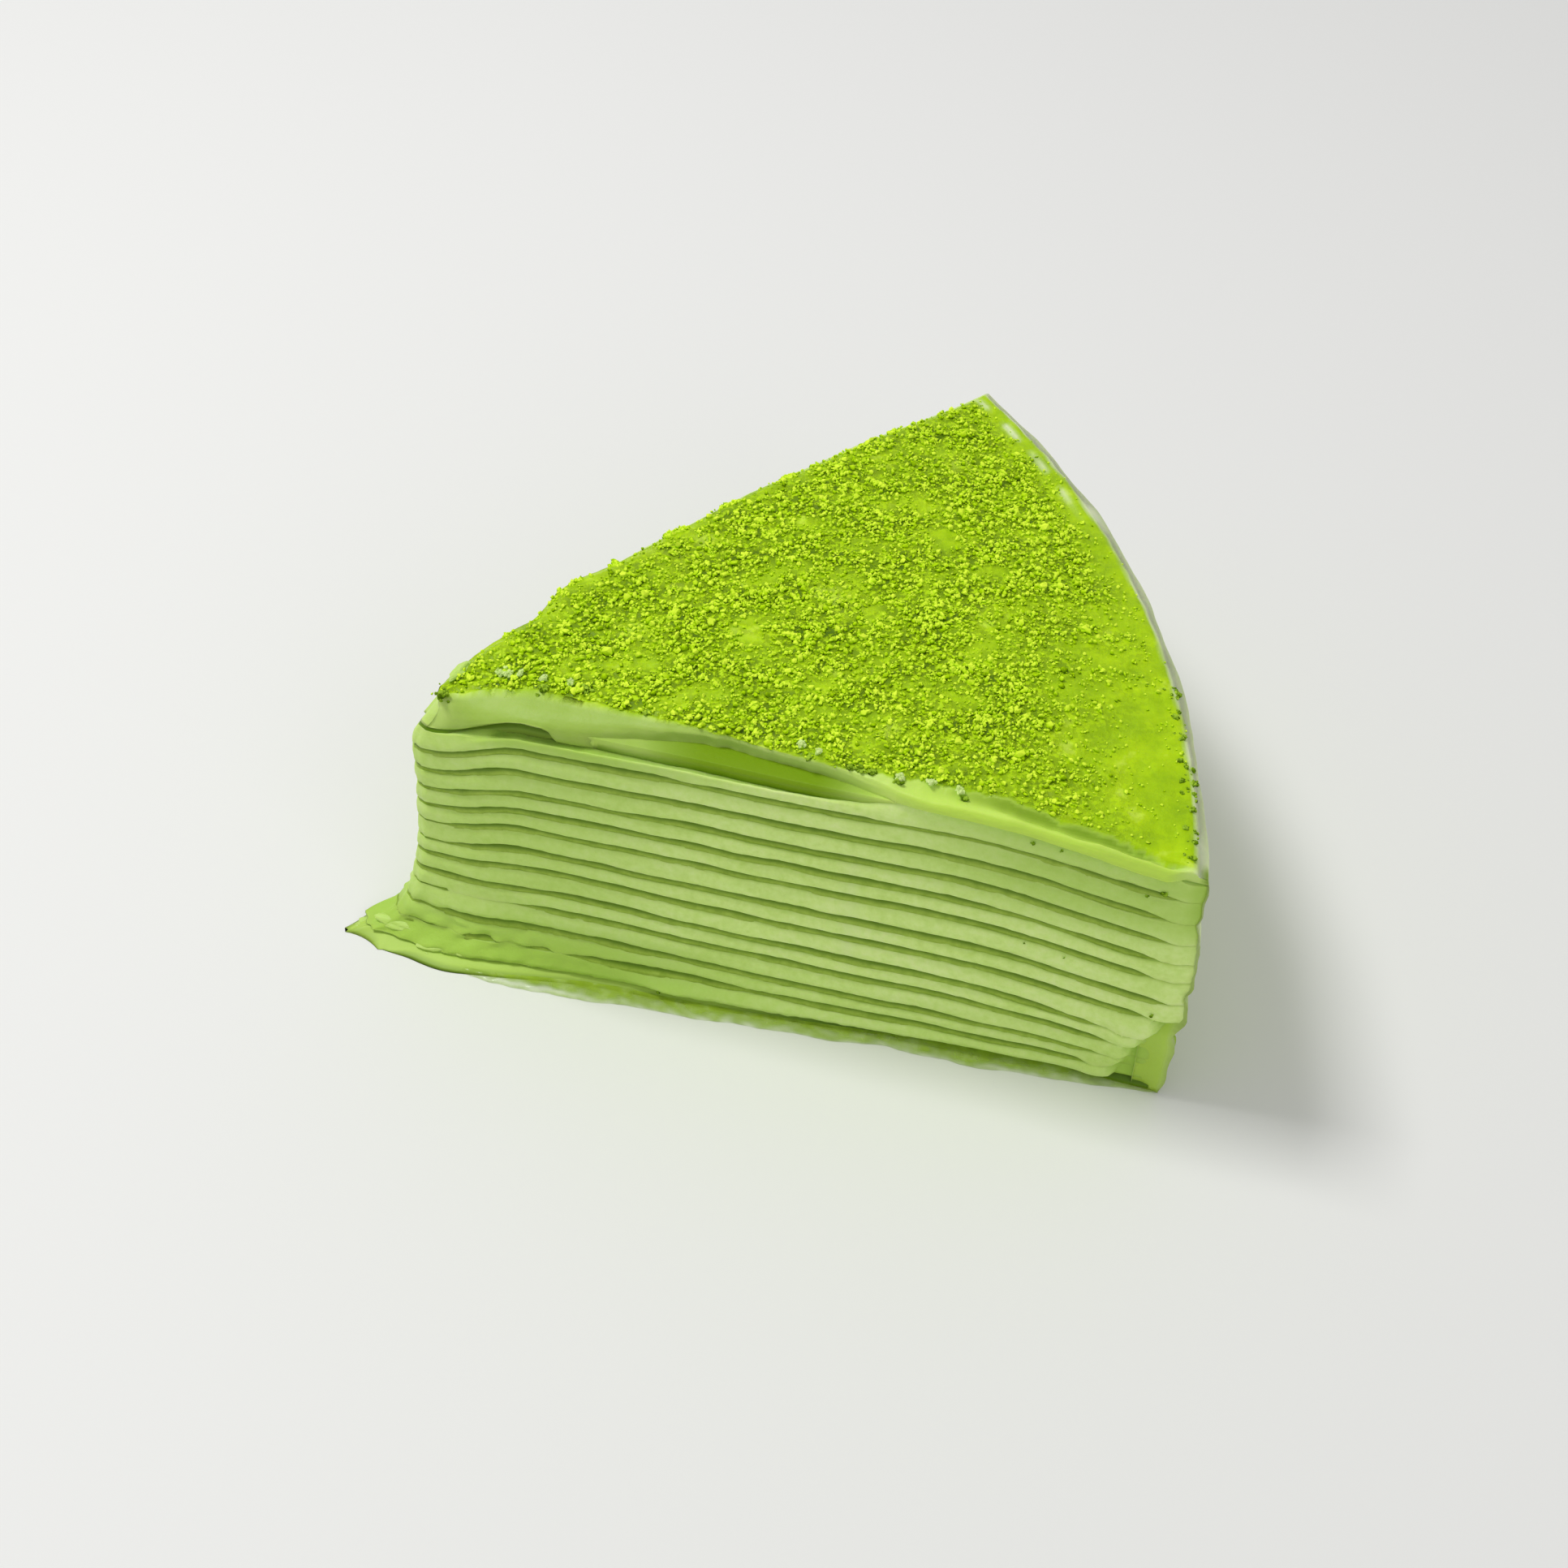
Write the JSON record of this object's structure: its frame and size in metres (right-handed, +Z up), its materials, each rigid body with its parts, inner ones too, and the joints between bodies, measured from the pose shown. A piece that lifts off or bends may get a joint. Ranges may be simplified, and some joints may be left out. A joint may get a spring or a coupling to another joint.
{
  "type": "crepe cake slice",
  "caption": "Cut slice of a green tea crepe cake: crepes with cream between them, frosting over the top and rim, powder on top.",
  "frame": {"origin": "middle of the slice's box at the height of the plate", "axes": "+X from the tip towards the round rim, +Y from the front cut towards the back cut, +Z up"},
  "size_m": [0.105, 0.0932, 0.043],
  "materials": {
    "crepe": "satin",
    "cream": "satin",
    "frosting": "matte",
    "powder": "matte",
    "wet_smear": "gloss"
  },
  "bodies": {
    "root": {"crepe_01": "crepe", "crepe_02": "crepe", "crepe_03": "crepe", "crepe_04": "crepe", "crepe_05": "crepe", "crepe_06": "crepe", "crepe_07": "crepe", "crepe_08": "crepe", "crepe_09": "crepe", "crepe_10": "crepe", "crepe_11": "crepe", "crepe_12": "crepe", "crepe_13": "crepe", "cream_01": "cream", "cream_02": "cream", "cream_03": "cream", "cream_04": "cream", "cream_05": "cream", "cream_06": "cream", "cream_07": "cream", "cream_08": "cream", "cream_09": "cream", "cream_10": "cream", "cream_11": "cream", "cream_12": "cream", "frosting": "frosting"}
  },
  "joints": []
}
